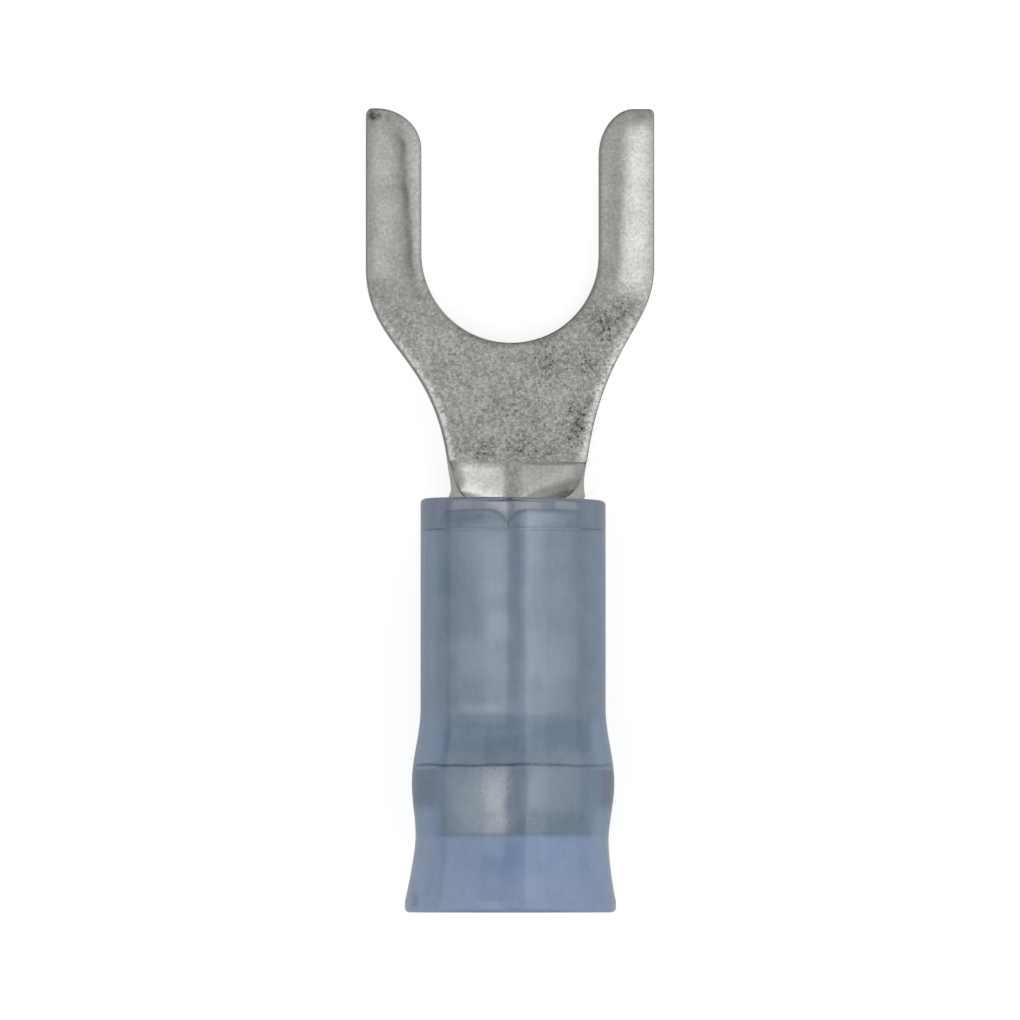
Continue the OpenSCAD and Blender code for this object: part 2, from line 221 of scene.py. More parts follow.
def outline(side):
    """The outer and inner edges of one half of the flat blank, a row each, as (distance from the
    centre line, y). The inner edge is the slot's, and behind the slot it is the centre line."""
    flank = cubic(np.array([
        (FORK_HALF, SHOULDER_Y),
        (FORK_HALF, SHOULDER_Y - side.shoulder_pull),
        (side.neck + side.neck_pull * math.tan(NECK_TAPER), FOLD_Y + side.neck_pull),
        (side.neck, FOLD_Y),
    ]), FLANK_STEPS)
    corner = arc((FORK_HALF - TIP_CORNER_W, TIP_Y - TIP_CORNER_L), (TIP_CORNER_W, TIP_CORNER_L),
                 90, 0, TIP_CORNER_ROWS)
    web_y = FRONT_Y + WEB_R
    web_half = side.neck - (FOLD_Y - web_y) * math.tan(TROUGH_TAPER)
    fillet = arc((web_half + WEB_R, web_y), WEB_R, 180, 270, FILLET_ROWS)
    seam_half = math.pi * ROLL_R + side.sign * SEAM_SHIFT - SEAM_GAP / 2
    seam_corner = arc((seam_half - SEAM_CORNER_R, FRONT_Y - SEAM_CORNER_R), SEAM_CORNER_R,
                      90, 0, CORNER_ROWS)
    outer = chain(
        corner,
        line(corner[-1], (FORK_HALF, TIP_Y - side.tip_l), TIP_ROWS - TIP_CORNER_ROWS),
        line((FORK_HALF, TIP_Y - side.tip_l), (FORK_HALF, 0), TINE_ROWS),
        even(chain(line((FORK_HALF, 0), flank[0], 1), flank[:FLANK_SPLIT + 1]), SLOT_ROWS),
        even(flank[FLANK_SPLIT:], WEB_ROWS),
        line(flank[-1], fillet[0], TROUGH_ROWS),
        fillet,
        line(fillet[-1], seam_corner[0], FRONT_ROWS),
        seam_corner,
        line(seam_corner[-1], (seam_half, BARREL_Y[0]), TAPER_ROWS),
        np.stack([np.full(len(BARREL_Y), seam_half), BARREL_Y], -1),
    )
    tip_centre = (SLOT_HALF + side.tip_w, TIP_Y - side.tip_l)
    middle = [line((0, start), (0, end), rows)
              for start, end, rows in zip(MIDDLE_Y, MIDDLE_Y[1:], BACK_ROWS)]
    inner = chain(
        arc(tip_centre, (side.tip_w, side.tip_l), 90, 180, TIP_ROWS),
        line((SLOT_HALF, TIP_Y - side.tip_l), (SLOT_HALF, 0), TINE_ROWS),
        arc((0, 0), SLOT_HALF, 0, -90, SLOT_ROWS),
        *middle,
        np.stack([np.zeros(len(BARREL_Y)), BARREL_Y], -1),
    )
    return outer, inner


def distance(points, path):
    """How far each point of a grid is from a line of points: the least over its straight pieces, which
    are taken 32 at a time to save memory."""
    starts, steps = path[:-1], np.diff(path, axis=0)
    best = np.full(points.shape[:-1], np.inf)
    for k in range(0, len(steps), 32):
        start, step = starts[k:k + 32], steps[k:k + 32]
        to = points[..., None, :] - start
        t = np.clip((to * step).sum(-1) / (step ** 2).sum(-1), 0, 1)
        best = np.minimum(best, np.linalg.norm(to - t[..., None] * step, axis=-1).min(-1))
    return best


def rounded(d, r):
    """How far a rounded edge of radius r has fallen at the distance d from it: a quarter circle."""
    inside = np.clip(r - d, 0, r)
    return r - np.sqrt(r * r - inside ** 2)


def soft_ramp(t):
    """About 1 at 0 and 0 well beyond 1, with the corner at 1 softened: half of (1 - t) plus its smoothed
    size."""
    rise = 1 - t
    return (rise + np.sqrt(rise ** 2 + CREASE_SOFT)) / 2


def on_tine(y):
    """1 beside the stud and along the tines, and 0 on the web, with half a cosine wave between."""
    return ease((y - SHOULDER_Y + CROWN_FADE) / CROWN_FADE)


def bevel_width(side, y):
    """How wide the coined bevel along the slot is: it changes smoothly from the tip to the stud."""
    return mix(side.bevel_tip, side.bevel_w, ease(1 - y / (TIP_Y - side.tip_l)))


def top_fall(side, points, from_slot, from_side):
    """How far the sheet's top lies below its flat face: the crown falls to the tines' outer sides,
    the coined bevel to the slot, the stamping's roll-over to the web's sides, and every edge is round."""
    y = points[..., 1]
    crown = side.crown_d * on_tine(y) * soft_ramp(from_side / CROWN_W)
    turned = np.arctan2(-y, points[..., 0])
    faded = np.where(y < 0, ease(turned / BEVEL_END), 0)
    width = bevel_width(side, y) * (1 - BEVEL_NARROWS * faded)
    bevelled = mix(crown, BEVEL_SLOPE * width, soft_ramp(from_slot / width) * (1 - faded))
    web = ease((ROLL_OVER_Y - y) / ROLL_OVER_RAMP) * ease((y - FRONT_Y) / WEB_R)
    over = side.roll_over * web * np.clip(1 - from_side / ROLL_OVER_W, 0, 1) ** 2
    in_ring = sum((y > low) & (y < low + RING_W) for low in RING_EDGES[::2])
    chamfer = np.clip(END_Y + BORE_CHAMFER - y, 0, None)
    return bevelled + over + rounded(np.minimum(from_slot, from_side), EDGE_R) + RING_D * in_ring + chamfer


def section_slope(u, y):
    """Slope of the sheet's section, in radians, at the length u along it from the centre line. In front
    of the fold it is none. Behind the fold the punch's flat ridge turns it from one flank's slope to
    the other's, as s cubed over the root of 1 + s to the sixth, and it passes over to the barrel's,
    which is u over the barrel's radius, as a power of the way back to the barrel."""
    behind = np.clip(FOLD_Y - y, 0, None)
    s = (u - RIDGE_X) / RIDGE_HALF
    lift = np.where(s > 0, RIGHT.lift * np.clip(behind / RIGHT.lift_l, 0, 1),
                    LEFT.lift * np.clip(behind / LEFT.lift_l, 0, 1))
    late = mix(LEFT.curl_late, RIGHT.curl_late, ease((u + SIDES_MEET) / (2 * SIDES_MEET)))
    late = late * (1 + INNER_LATE * np.clip(1 - np.abs(u) / LEFT.neck, 0, 1))
    curled = np.clip(behind / CURL_L, 0, 1) ** late
    return mix(lift * s ** 3 / np.sqrt(1 + s ** 6), u / ROLL_R, curled)


# The steps in which the sheet's formed section is summed
SECTION_STEPS = 48


def formed(u, y, n):
    """A point of the sheet once formed. u is the length along the section from the centre line, and n
    the height above the sheet's middle. The middle's place is the sum along the section, at that y, of
    the slope's cosine and sine, and n goes along the normal."""
    part = (np.arange(SECTION_STEPS) + 0.5) / SECTION_STEPS
    slope = section_slope(u[..., None] * part, y[..., None])
    x = u * np.cos(slope).mean(-1)
    z = u * np.sin(slope).mean(-1)
    lean = section_slope(u, y)
    return np.stack([x - n * np.sin(lean), y, SHEET / 2 + z + n * np.cos(lean)], -1)


def grid_faces(rows, columns, first):
    """Four-cornered faces of a grid whose vertices are numbered row by row from first."""
    at = first + np.arange(rows * columns).reshape(rows, columns)
    return np.stack([at[:-1, :-1], at[1:, :-1], at[1:, 1:], at[:-1, 1:]], -1).reshape(-1, 4)


def top_wear_and_shade(side, y, from_slot, from_side):
    """How much the sheet's top is darkened, from 0 to 1: the most of four bell curves, painted shade
    across the edges, rubbing by the tines' outer sides, painted shade along the wavering crease by the
    bevel, and rubbing at the slot's bottom."""
    # Painted shade: a dark line along every edge
    outlined = LINE_SHADE * np.exp(-(np.minimum(from_slot, from_side) / LINE_W) ** 2)
    dull = DULL_RUBBED * on_tine(y) * np.exp(-(from_side / DULL_W) ** 2)
    # Painted shade in the crease along the bevel
    across = from_slot - bevel_width(side, y) + 0.02 * np.sin(9 * y) + 0.012 * np.sin(23 * y)
    crease = np.exp(-(across / np.where(across > 0, CREASE_IN_W, CREASE_OUT_W)) ** 2)
    faint = mix(1, 0.25, ease((y - TIP_Y + 1.1) / 0.5)) * (0.8 + 0.2 * np.sin(4.1 * y + 1))
    crease = side.crease * on_tine(y) * crease * faint
    bottom = BOTTOM_RUBBED * ease(-y / SLOT_HALF) * np.exp(-(from_slot / BOTTOM_W) ** 2)
    return np.max([outlined, dull, crease, bottom], axis=0)


def half_terminal(side):
    """One half of the terminal as grids of points, and how much each point is darkened by rubbing and by
    painted shade. The grids are its top, its underside, its outer side, the slot's side, its tip and the
    barrel's end."""
    outer, inner = outline(side)
    across = (1 - np.cos(np.linspace(0, np.pi, COLUMNS))) / 2
    flat = mix(outer[:, None], inner[:, None], across[None, :, None])
    slot_edge = np.concatenate([line(outer[0], inner[0], 12), inner[1:FREE_ROWS + 1]])
    from_slot, from_side = distance(flat, slot_edge), distance(flat, outer)
    edge = np.minimum(from_slot, from_side)
    y = flat[..., 1]
    u = side.sign * flat[..., 0]
    high = SHEET / 2 - top_fall(side, flat, from_slot, from_side)
    low = -SHEET / 2 + np.where(y > FRONT_Y, rounded(edge, EDGE_R / 2), rounded(edge, SEAM_ROUND))

    def wall(rows, columns):
        n = mix(high[rows, columns].ravel(), low[rows, columns].ravel(), WALL_DOWN[:, None])
        return formed(np.broadcast_to(u[rows, columns].ravel(), n.shape),
                      np.broadcast_to(y[rows, columns].ravel(), n.shape), n)

    free, everything = slice(0, FREE_ROWS + 1), slice(None)
    grids = [formed(u, y, high), formed(u, y, low),
             wall(everything, 0), wall(free, -1), wall(0, everything), wall(-1, everything)]
    at_front = ease((y - FRONT_Y + 0.5) / 0.2) * ease((FRONT_Y + 0.4 - y) / 0.2)
    # Painted shade on the walls
    side_shade = WALL_SHADE * ease((y[:, 0] - FOLD_Y + 0.2) / 0.4)
    worn_and_shaded = [top_wear_and_shade(side, y, from_slot, from_side), at_front * np.exp(-(edge / FRONT_W) ** 2),
              side_shade, side_shade[free], WALL_SHADE, 0.0]
    return grids, [np.broadcast_to(dark, grid.shape[:2]) for dark, grid in zip(worn_and_shaded, grids)]


def new_object(name, data):
    """Makes an object of a mesh, a camera or a lamp, and puts it in the scene."""
    made = bpy.data.objects.new(name, data)
    bpy.context.scene.collection.objects.link(made)
    return made


def new_piece(name, points, faces, marks):
    """Makes a mesh object at the origin from points in millimetres, merges what meets, and turns its
    faces outwards. The marks are a value for each point, by name, which the materials read."""
    mesh = bpy.data.meshes.new(name)
    mesh.from_pydata((points * MM).tolist(), [], faces.tolist())
    for key, values in marks.items():
        layer = mesh.attributes.new(key, "FLOAT", "POINT")
        layer.data.foreach_set("value", values.astype(np.float32))
    work = bmesh.new()
    work.from_mesh(mesh)
    bmesh.ops.remove_doubles(work, verts=work.verts, dist=1e-7)
    bmesh.ops.recalc_face_normals(work, faces=work.faces)
    work.to_mesh(mesh)
    work.free()
    mesh.shade_smooth()
    return new_object(name, mesh)


# Places on the metal that are darker, as (x, y, radius, how much): tarnished at a worn corner and in the
# die's marks; rubbed at the left tip, painted shade at the right tip and on the trough's right, and rubbed
# at the barrel's front
TARNISHED = [
    (-3.88, 3.84, 0.13, 1.0), (-3.70, 3.86, 0.08, 0.6), (-3.45, 3.75, 0.12, 0.3),
    (1.85, -4.85, 0.3, 0.75), (1.75, -5.1, 0.25, 0.55), (1.95, -4.35, 0.35, 0.45),
    (2.2, -3.1, 0.35, 0.5), (2.65, -2.0, 0.45, 0.5), (3.1, -1.6, 0.4, 0.35), (0.25, -5.4, 0.3, 0.5),
    (-0.75, -5.5, 0.35, 0.4), (0.9, -5.5, 0.4, 0.35), (2.95, -3.2, 0.1, 0.8),
    (1.1, -3.0, 0.6, 0.25), (0.2, -4.3, 0.7, 0.2),
]
# Rubbed places, with painted shade at the right tip and on the trough's right
WORN_AND_SHADED_SPOTS = [
    (3.6, 3.85, 0.32, 0.35), (-3.93, 3.84, 0.15, 0.7), (-3.7, 3.8, 0.07, 0.35), (1.5, -6.65, 0.22, 0.3),
    (-1.1, -7.45, 0.35, 0.5), (-0.5, -7.45, 0.35, 0.5),
]


def blotches(points, places):
    """The most that any of the round places darkens a point: a bell curve round each centre."""
    dark = np.zeros(len(points))
    for x, y, radius, amount in places:
        away = ((points[:, 0] - x) ** 2 + (points[:, 1] - y) ** 2) / radius ** 2
        dark = np.maximum(dark, amount * np.exp(-away))
    return dark


# How strongly the die's grain shows beside its full strength on the web: along the tines, in the trough
# and on the punch's ridge
GRAIN_TINES = 0.18
GRAIN_TROUGH = 0.1
GRAIN_RIDGE = 0.4


def make_terminal():
    """The stamped and rolled terminal, as two halves that meet on the centre line. Each half's first two
    grids are the sheet's faces, and the others are its sheared walls."""
    points, faces, sheared, worn_and_shaded, count = [], [], [], [], 0
    for side in (LEFT, RIGHT):
        for k, (grid, dark) in enumerate(zip(*half_terminal(side))):
            rows, columns = grid.shape[:2]
            faces.append(grid_faces(rows, columns, count))
            points.append(grid.reshape(-1, 3))
            worn_and_shaded.append(dark.ravel())
            row = np.arange(rows)
            in_wall = (k > 1) & (row > 0) & (row < rows - 1)
            sheared.append(np.repeat(in_wall, columns).astype(float))
            count += rows * columns
    points = np.concatenate(points)
    x, y, z = points.T
    on_fork = mix(1.0, GRAIN_TINES, ease((y + 2.4) / 2.2))
    ridge = ease((y - FRONT_Y + 0.4) / 0.4) * np.exp(-((x - RIDGE_X) / RIDGE_HALF) ** 4)
    in_trough = mix(GRAIN_TROUGH, GRAIN_RIDGE, ridge)
    return new_piece("terminal_body", points, np.concatenate(faces), {
        "die_grain": mix(in_trough, on_fork, ease((y - FOLD_Y + 0.05) / 0.1)),
        "sheared": np.concatenate(sheared),
        "tarnish": blotches(points, TARNISHED) * (z > SHEET / 2),
        "worn_and_shaded": np.maximum(np.concatenate(worn_and_shaded), blotches(points, WORN_AND_SHADED_SPOTS) * (z > SHEET / 2)),
    })


# How many points go round a turned shape
AROUND = 144


def turned_points(profile, shift=0.0):
    """Points of a turned shape: for each radius and y of its profile a circle of that radius in the plane
    of that y, round the barrel's centre line moved sideways by shift."""
    radius, y = profile.T[..., None]
    a = np.linspace(0, 2 * np.pi, AROUND, endpoint=False)
    x = radius * np.cos(a) + shift
    return np.stack([x, np.broadcast_to(y, x.shape), radius * np.sin(a) + AXIS_Z], -1)


def ring_faces(rows):
    """Faces of a grid that closes on itself both ways: round the axis, and round the profile."""
    at = np.arange(rows * AROUND).reshape(rows, AROUND)
    down, on = np.roll(at, -1, 0), np.roll(at, -1, 1)
    return np.stack([at, down, np.roll(down, -1, 1), on], -1).reshape(-1, 4)


# The grip sleeve's profile: its outside on the barrel, in the groove, over the band with a step at its
# front, and at the tail. Its gap is the same from the barrel as from the nylon.
SLEEVE_FRONT = SLEEVE_HIGH[1]
SLEEVE_END = SLEEVE_LOW[1]
SLEEVE_T = 0.19
SLEEVE_GAP = 0.03
SLEEVE_R = BARREL_R + SLEEVE_GAP + SLEEVE_T
GROOVE_R = 1.65
TAIL_R = 2.2
GROOVE_START = END_Y - 0.15
GROOVE_Y = GROOVE_START - 0.7
BAND_Y = GROOVE_Y - 0.82
BAND_END = BAND_Y - 1.13
TAIL_Y = BAND_END - 0.35
BAND_STEP = 0.07
BAND_STEP_L = 0.05

# The nylon sleeve's profile: its outside radius at places along Y, its front lip and its rounded edges
NYLON_FRONT = NYLON_HIGH[1]
NYLON_MOUTH = NYLON_LOW[1]
NYLON_T = 0.43
NYLON_R = 2.58
BULGE_R = 2.82
WAIST_R = 2.69
MOUTH_R = (NYLON_HIGH[0] - NYLON_LOW[0]) / 2
RIM_Y = NYLON_MOUTH + 0.3
WAIST_Y = RIM_Y + 1.75
BULGE_Y = WAIST_Y + 1.55
SWELL_Y = END_Y
LIP_Y = NYLON_FRONT - 0.85
LIP_BORE_R = 2.05
NYLON_EDGE_R = 0.14
INNER_EDGE_R = 0.06
BORE_CORNER_R = 0.05
LIP_CORNER_R = 0.03
FLARE_POWER = 1.5

# How far the flare leans to the left, and how much the front is cut slantwise, over which length
FLARE_LEAN = 0.075
SLANT = 0.03
SLANT_L = 1.2

# The share of light that passes the nylon's outside, what is added to it over the lip and the band, what
# is taken from it over the groove, and how much is taken from it with the painted shade, down to the
# darkest
CLEAR = 0.4
LIP_CLEAR = 0.18
BAND_CLEAR = 0.1
HOLLOW_CLEAR = 0.06
DARK_CLEAR = 0.3
DARKEST = -0.4

# How much painted shade darkens the milk over the groove, where little light reaches, and how far from the
# middle it starts to be painted bluer past the metal, for the light that shows through: less so beside the
# barrel, which lies close to the nylon
GROOVE_SHADE = 0.4
FLANK_X = 1.95
FLANK_FADE = 0.35
BARREL_FLANK = 0.35

# How dark the nylon is painted: painted shade over the band's front edge on the left and on the right,
# over the lip's shoulder and beside the band, darker beside the lip, and wear at a worn place of the mouth
EDGE_LEFT_SHADE = 0.9
EDGE_RIGHT_SHADE = 0.6
SHOULDER_SHADE = 0.4
BESIDE_BAND_SHADE = 0.6
BESIDE_LIP_DARK = 0.3
MOUTH_WORN = 0.5

# Places on the nylon's upper half, as (x, y, half width, half length, how much). TOUCHING adds to how
# clearly the metal shows, as the nylon lies on it there, or takes from it. The other lists are painted
# highlights, which make the milk paler, and below nought painted shade, which makes it darker. Each is a
# bell curve with the power 3 in place of 2, which has steeper edges.
TOUCHING = [
    (-0.4, -7.05, 0.5, 0.3, 0.22), (0.2, -7.0, 0.3, 0.25, 0.1),
    (-0.7, -15.35, 0.45, 0.75, 0.25), (1.2, -16.0, 1.05, 1.9, -0.12),
]
LIP_LIGHT_AND_SHADE = [
    (-1.2, -7.5, 0.9, 0.13, -0.5), (0.1, -7.5, 0.15, 0.15, 0.6), (0.5, -7.5, 0.6, 0.14, 1.0),
    (1.55, -7.4, 0.3, 0.25, 0.35),
]
BARREL_LIGHT_AND_SHADE = [
    (-1.9, -9.2, 0.3, 0.5, -0.2), (-1.85, -10.45, 0.34, 0.4, -0.2), (-1.9, -11.5, 0.26, 0.22, -0.18),
    (-0.75, -8.8, 0.45, 1.2, 0.35), (-0.9, -10.0, 0.2, 1.6, 0.15), (-0.55, -10.5, 0.35, 0.4, 0.55),
    (-1.1, -11.4, 0.7, 0.6, 0.3), (-1.0, -12.78, 0.9, 0.14, 0.4), (-0.35, -13.65, 0.5, 0.45, 0.25),
    (0.1, -11.3, 0.5, 0.9, 0.15), (0.05, -12.9, 0.28, 0.6, 0.3), (0.5, -12.1, 0.2, 0.3, -0.25),
    (0.23, -9.2, 0.16, 1.9, 0.45), (0.4, -8.3, 0.35, 0.7, 0.3), (0.25, -12.0, 0.2, 0.9, 0.15),
    (1.3, -9.7, 0.6, 0.6, 0.25), (1.05, -11.3, 0.7, 0.75, 0.45), (0.9, -12.2, 0.25, 0.8, 0.25),
    (2.3, -9.9, 0.2, 2.2, -0.3),
]
BAND_LIGHT_AND_SHADE = [
    (-1.4, -15.4, 0.5, 0.6, 0.3), (-1.2, -15.8, 0.45, 0.35, 0.25), (-0.75, -15.3, 0.5, 0.75, 0.5),
    (-0.3, -15.8, 0.3, 0.3, 0.4), (0.25, -15.2, 0.2, 0.5, 0.3), (0.45, -15.85, 0.15, 0.3, -0.3),
    (1.0, -16.0, 1.0, 0.42, -0.5), (-0.1, -16.95, 1.6, 0.5, -0.3), (-0.25, -16.9, 0.3, 0.45, -0.2),
]
LIGHT_AND_SHADE_SPOTS = LIP_LIGHT_AND_SHADE + BARREL_LIGHT_AND_SHADE + BAND_LIGHT_AND_SHADE
BELL_POWER = 3


def nylon_outside(y):
    """Outside radius of the nylon: straight, swelling over the band as half a cosine wave, closing to
    the waist as another, and flaring to the mouth as a power curve."""
    swell = mix(NYLON_R, BULGE_R, ease((SWELL_Y - y) / (SWELL_Y - BULGE_Y)))
    close = mix(BULGE_R, WAIST_R, ease((BULGE_Y - y) / (BULGE_Y - WAIST_Y)))
    flare = mix(WAIST_R, MOUTH_R, np.clip((WAIST_Y - y) / (WAIST_Y - RIM_Y), 0, 1) ** FLARE_POWER)
    return np.select([y > BULGE_Y, y > WAIST_Y], [swell, close], flare)


def nylon_profile():
    """The nylon's section as (radius, y): down its outside, over the mouth's edge, up the inside at the
    wall's thickness and over the thicker lip at the front. Also how many points are on the outside."""
    out_y = np.sort(np.concatenate([
        np.linspace(NYLON_FRONT - NYLON_EDGE_R, SWELL_Y, 40, endpoint=False),
        np.linspace(SWELL_Y, NYLON_MOUTH + NYLON_EDGE_R, 110), BAND_Y + np.linspace(-0.07, 0.17, 20),
        LIP_Y + np.linspace(-0.08, 0.08, 12),
    ]))[::-1]
    front = arc((NYLON_R - NYLON_EDGE_R, NYLON_FRONT - NYLON_EDGE_R), NYLON_EDGE_R, 90, 0, 8)
    mouth_in = MOUTH_R - NYLON_T
    mouth = arc((MOUTH_R - NYLON_EDGE_R, NYLON_MOUTH + NYLON_EDGE_R), NYLON_EDGE_R, 0, -90, 8)
    in_edge = arc((mouth_in + INNER_EDGE_R, NYLON_MOUTH + INNER_EDGE_R), INNER_EDGE_R, 270, 180, 4)
    in_y = np.linspace(NYLON_MOUTH + INNER_EDGE_R, SWELL_Y, 90)[1:]
    bore = NYLON_R - NYLON_T
    straight = line((bore, SWELL_Y), (bore, LIP_Y - 0.06), 30)[1:]
    lip = chain(arc((bore - BORE_CORNER_R, LIP_Y - BORE_CORNER_R), BORE_CORNER_R, 0, 90, 5),
                arc((LIP_BORE_R + LIP_CORNER_R, LIP_Y + LIP_CORNER_R), LIP_CORNER_R, 270, 180, 4))
    lip_bore = line((LIP_BORE_R, LIP_Y + 0.06), (LIP_BORE_R, NYLON_FRONT - 0.08), 10)
    lip_edge = arc((LIP_BORE_R + INNER_EDGE_R, NYLON_FRONT - INNER_EDGE_R), INNER_EDGE_R, 180, 90, 4)
    profile = np.concatenate([
        front[:-1], np.stack([nylon_outside(out_y), out_y], -1), mouth[1:], in_edge,
        np.stack([nylon_outside(in_y) - NYLON_T, in_y], -1), straight, lip, lip_bore, lip_edge,
    ])
    return profile, len(front) + len(out_y) + len(mouth) - 2


def nylon_marks(points, inner):
    """What the nylon's material reads at each point. Clearness and the painted highlights and shade are
    sums of bell curves round the places above. Its sides, past the metal, are painted bluer for the light
    that shows through.
    Painted shade darkens it along a wavering ring over the band's edge and along the lip's shoulder, each
    a bell curve across, and beside the band."""
    x, y, z = points.T
    turned = np.arctan2(x, z - AXIS_Z)
    over_lip = ease((y - LIP_Y + 0.1) / 0.2)
    over_band = ease((BAND_Y - y) / 0.1) * ease((y - SLEEVE_END) / 0.1)
    # The sides past the metal, which are painted bluer for the light that shows through
    flank = ease((np.abs(x) - FLANK_X) / FLANK_FADE)
    clear = CLEAR + LIP_CLEAR * over_lip * (1 - flank)
    clear = clear + BAND_CLEAR * over_band * (1 - ease(np.abs(x) - 1.1))
    # Painted highlights and shade, summed over the places above
    light_and_shade = np.zeros(len(x))
    for places, values in ((TOUCHING, clear), (LIGHT_AND_SHADE_SPOTS, light_and_shade)):
        for at_x, at_y, half_x, half_y, more in places:
            away = np.abs((x - at_x) / half_x) ** BELL_POWER + np.abs((y - at_y) / half_y) ** BELL_POWER
            values += more * np.exp(-away) * (z > AXIS_Z)
    # Painted shade over the sleeve's groove
    hollow = ease((GROOVE_START - y) / 0.4) * ease((y - BAND_Y - 0.25) / 0.3) * (1 - flank)
    light_and_shade = light_and_shade - GROOVE_SHADE * hollow
    clear = clear - HOLLOW_CLEAR * hollow + DARK_CLEAR * np.clip(light_and_shade, DARKEST, 0) * (1 - over_band)
    # Painted shade along a wavering ring over the band's front edge, along the lip's shoulder and beside
    # the band
    ring = BAND_Y + 0.05 + 0.018 * np.sin(5 * turned + 1) + 0.008 * np.sin(17 * turned)
    edge = mix(EDGE_LEFT_SHADE, EDGE_RIGHT_SHADE, ease(turned + 0.5))
    edge = edge * np.exp(-((y - ring) / 0.04) ** 2)
    shoulder = SHOULDER_SHADE * np.exp(-((y - LIP_Y) / 0.03) ** 2)
    beside_band = over_band * ease((y - BAND_END + 0.2) / 0.4) * ease((np.abs(x) - 1.9) / 0.8)
    worn = MOUTH_WORN * np.exp(-((x + 2.8) / 0.09) ** 2 - ((y + 18.1) / 0.2) ** 2)
    beside_lip = BESIDE_LIP_DARK * over_lip * flank
    dark = np.max([edge, shoulder, BESIDE_BAND_SHADE * beside_band, beside_lip, worn], axis=0)
    return {
        "clear": np.where(inner, 1, clear),
        "shade_and_wear": np.where(inner, 0, dark),
        "mouth": ease((SLEEVE_END + 0.1 - y) / 0.2),
        "flank": flank * mix(BARREL_FLANK, 1, ease((SWELL_Y - y) / 0.6)),
        "light_and_shade": light_and_shade,
    }


def make_nylon():
    """The nylon sleeve, turned from its profile. The flare leans a little to the left and the front is
    cut a little slantwise, as moulded ones are."""
    profile, outside = nylon_profile()
    y = profile[:, 1, None]
    points = turned_points(profile, -FLARE_LEAN * ease((BULGE_Y - y) / (BULGE_Y - NYLON_MOUTH)))
    slant = SLANT * ease((y - NYLON_FRONT + SLANT_L) / SLANT_L)
    points[..., 1] -= slant * points[..., 0] / NYLON_R
    points = points.reshape(-1, 3)
    inner = np.repeat(np.arange(len(profile)) >= outside, AROUND)
    return new_piece("nylon_sleeve", points, ring_faces(len(profile)), nylon_marks(points, inner))


def band_outside(y):
    """Outside radius of the grip sleeve's band, which follows the nylon's inside."""
    return nylon_outside(y) - NYLON_T - SLEEVE_GAP


def sleeve_outside(y):
    """Outside radius of the grip sleeve: straight on the barrel, narrowing into the groove as half a
    cosine wave, opening to the band as a quarter wave that ends in a small sharp step, following the
    nylon's inside over the band, and closing to the tail."""
    narrow = mix(SLEEVE_R, GROOVE_R, ease((GROOVE_START - y) / (GROOVE_START - GROOVE_Y)))
    t = np.clip((GROOVE_Y - y) / (GROOVE_Y - BAND_Y), 0, 1)
    step = BAND_STEP * np.clip((BAND_Y + BAND_STEP_L - y) / BAND_STEP_L, 0, 1)
    wide = mix(GROOVE_R, band_outside(BAND_Y) - BAND_STEP, 1 - np.cos(np.pi / 2 * t)) + step
    close = mix(band_outside(BAND_END), TAIL_R, ease((BAND_END - y) / (BAND_END - TAIL_Y)))
    return np.select([y > GROOVE_Y, y > BAND_Y, y > BAND_END], [narrow, wide, band_outside(y)], close)


def make_sleeve():
    """The grip sleeve, turned from its outside profile and the same profile less the wall."""
    out_y = np.sort(np.concatenate([
        np.linspace(SLEEVE_FRONT, GROOVE_START, 40, endpoint=False),
        np.linspace(GROOVE_START, SLEEVE_END, 90),
        np.linspace(BAND_Y, BAND_Y + BAND_STEP_L, 4), SLEEVE_END + np.linspace(0.01, 0.1, 6),
    ]))[::-1]
    profile = np.concatenate([
        np.stack([sleeve_outside(out_y), out_y], -1),
        np.stack([sleeve_outside(out_y) - SLEEVE_T, out_y], -1)[::-1],
    ])
    points = turned_points(profile).reshape(-1, 3)
    dark = np.exp(-((points[:, 1] - SLEEVE_END) / 0.07) ** 2)
    return new_piece("rolled_sleeve", points, ring_faces(len(profile)), {"tarnish": dark})


# Materials. A mix node's two colours are its inputs 6 and 7, and its result is output 2.

def colour(hex_value):
    """An sRGB colour such as "8fa0b4" as linear light, with alpha 1."""
    srgb = [int(hex_value[k:k + 2], 16) / 255 for k in (0, 2, 4)]
    return tuple(c / 12.92 if c <= 0.04045 else ((c + 0.055) / 1.055) ** 2.4 for c in srgb) + (1.0,)


def per_mm(size):
    """The scale of a pattern whose features are this many millimetres across, in object coordinates."""
    return 1 / (size * MM)


def add(tree, kind, sockets=None, **settings):
    """Adds one shader node: settings are its properties, and sockets its inputs, each of which is set
    to a value or linked to another node's output."""
    made = tree.nodes.new(kind)
    for key, value in settings.items():
        setattr(made, key, value)
    for key, value in (sockets or {}).items():
        if isinstance(value, bpy.types.NodeSocket):
            tree.links.new(value, made.inputs[key])
        else:
            made.inputs[key].default_value = value
    return made


def new_material(name):
    """An empty node material and its output."""
    material = bpy.data.materials.new(name)
    material.use_nodes = True
    tree = material.node_tree
    tree.nodes.clear()
    return material, tree, add(tree, "ShaderNodeOutputMaterial")


# How wide the flecks of the matte tin are drawn, in millimetres
FLECK = 0.1


